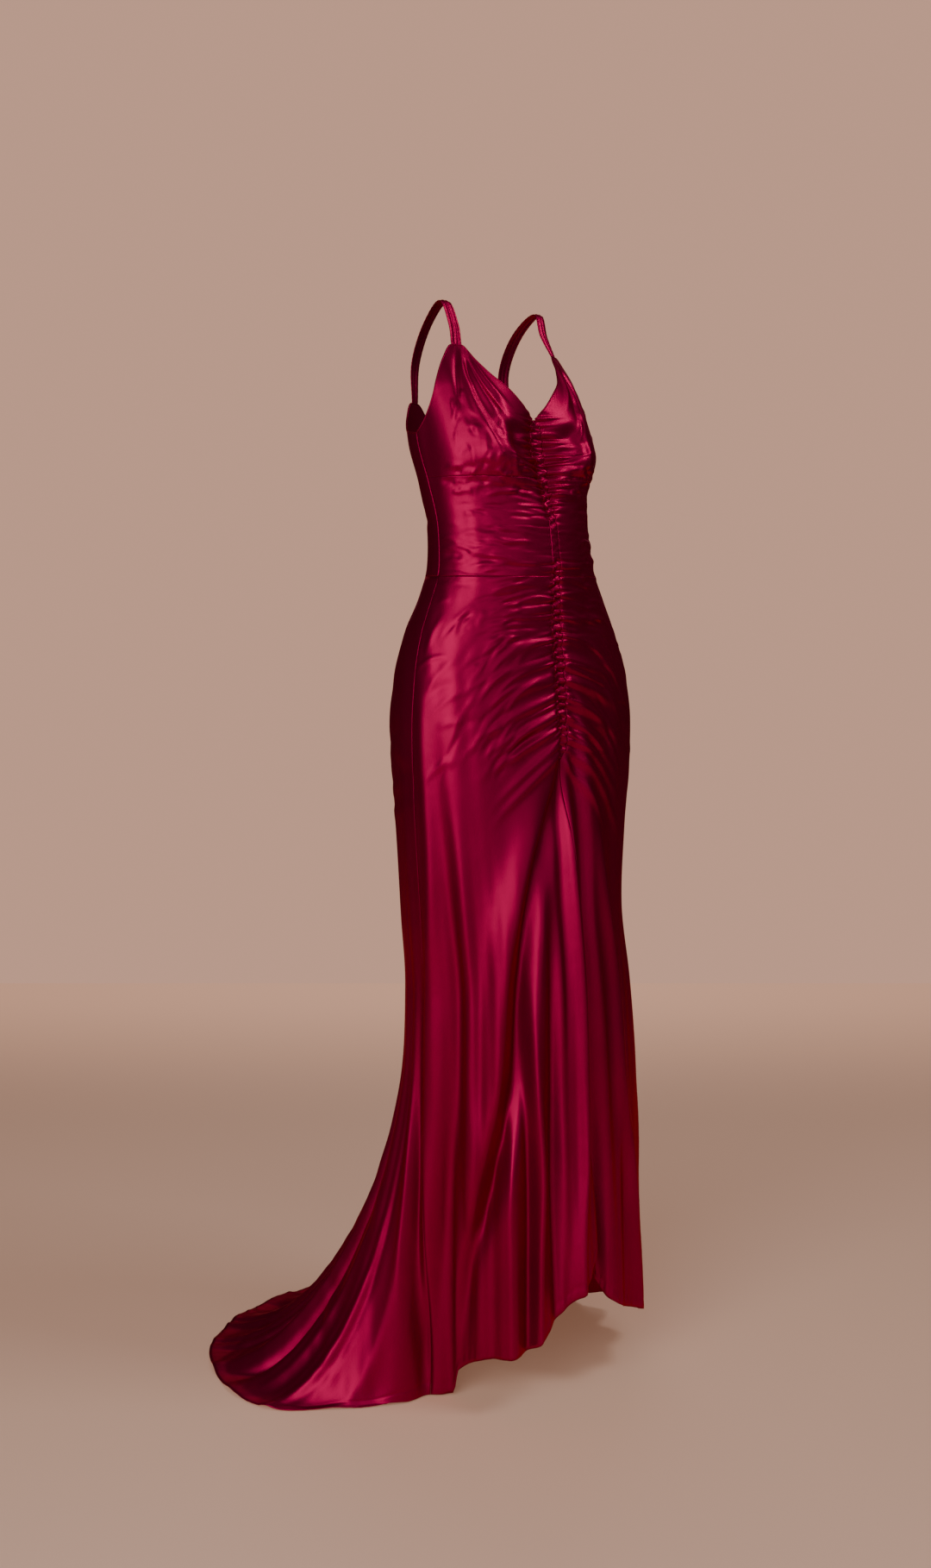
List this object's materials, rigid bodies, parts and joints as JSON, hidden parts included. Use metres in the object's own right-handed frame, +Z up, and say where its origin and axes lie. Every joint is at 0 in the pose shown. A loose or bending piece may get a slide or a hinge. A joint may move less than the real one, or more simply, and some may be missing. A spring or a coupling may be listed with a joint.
{
  "type": "bias-cut evening gown",
  "caption": "Floor-length sleeveless evening gown in satin, hollow as worn, with a gathered centre front, a front slit and a small train.",
  "frame": {"origin": "midway between the undersides of the two shoulder straps, where the wearer's shoulders carry them", "axes": "+X towards the wearer's left, -Y towards the front of the gown, +Z up along its length"},
  "size_m": [0.6106, 0.5843, 1.5225],
  "materials": {
    "satin": "deep crimson satin with a soft bright sheen",
    "satin_trim": "the same crimson satin, gathered and rolled into straps and the narrow centre band"
  },
  "bodies": {
    "root": {"cup_right": "satin", "cup_left": "satin", "midriff_right": "satin", "midriff_left": "satin", "skirt_front_right": "satin", "skirt_front_left": "satin", "skirt_back_right": "satin", "skirt_back_left": "satin", "bodice_back_right": "satin", "bodice_back_left": "satin", "strap_right": "satin_trim", "strap_left": "satin_trim", "centre_band": "satin_trim"}
  },
  "joints": []
}
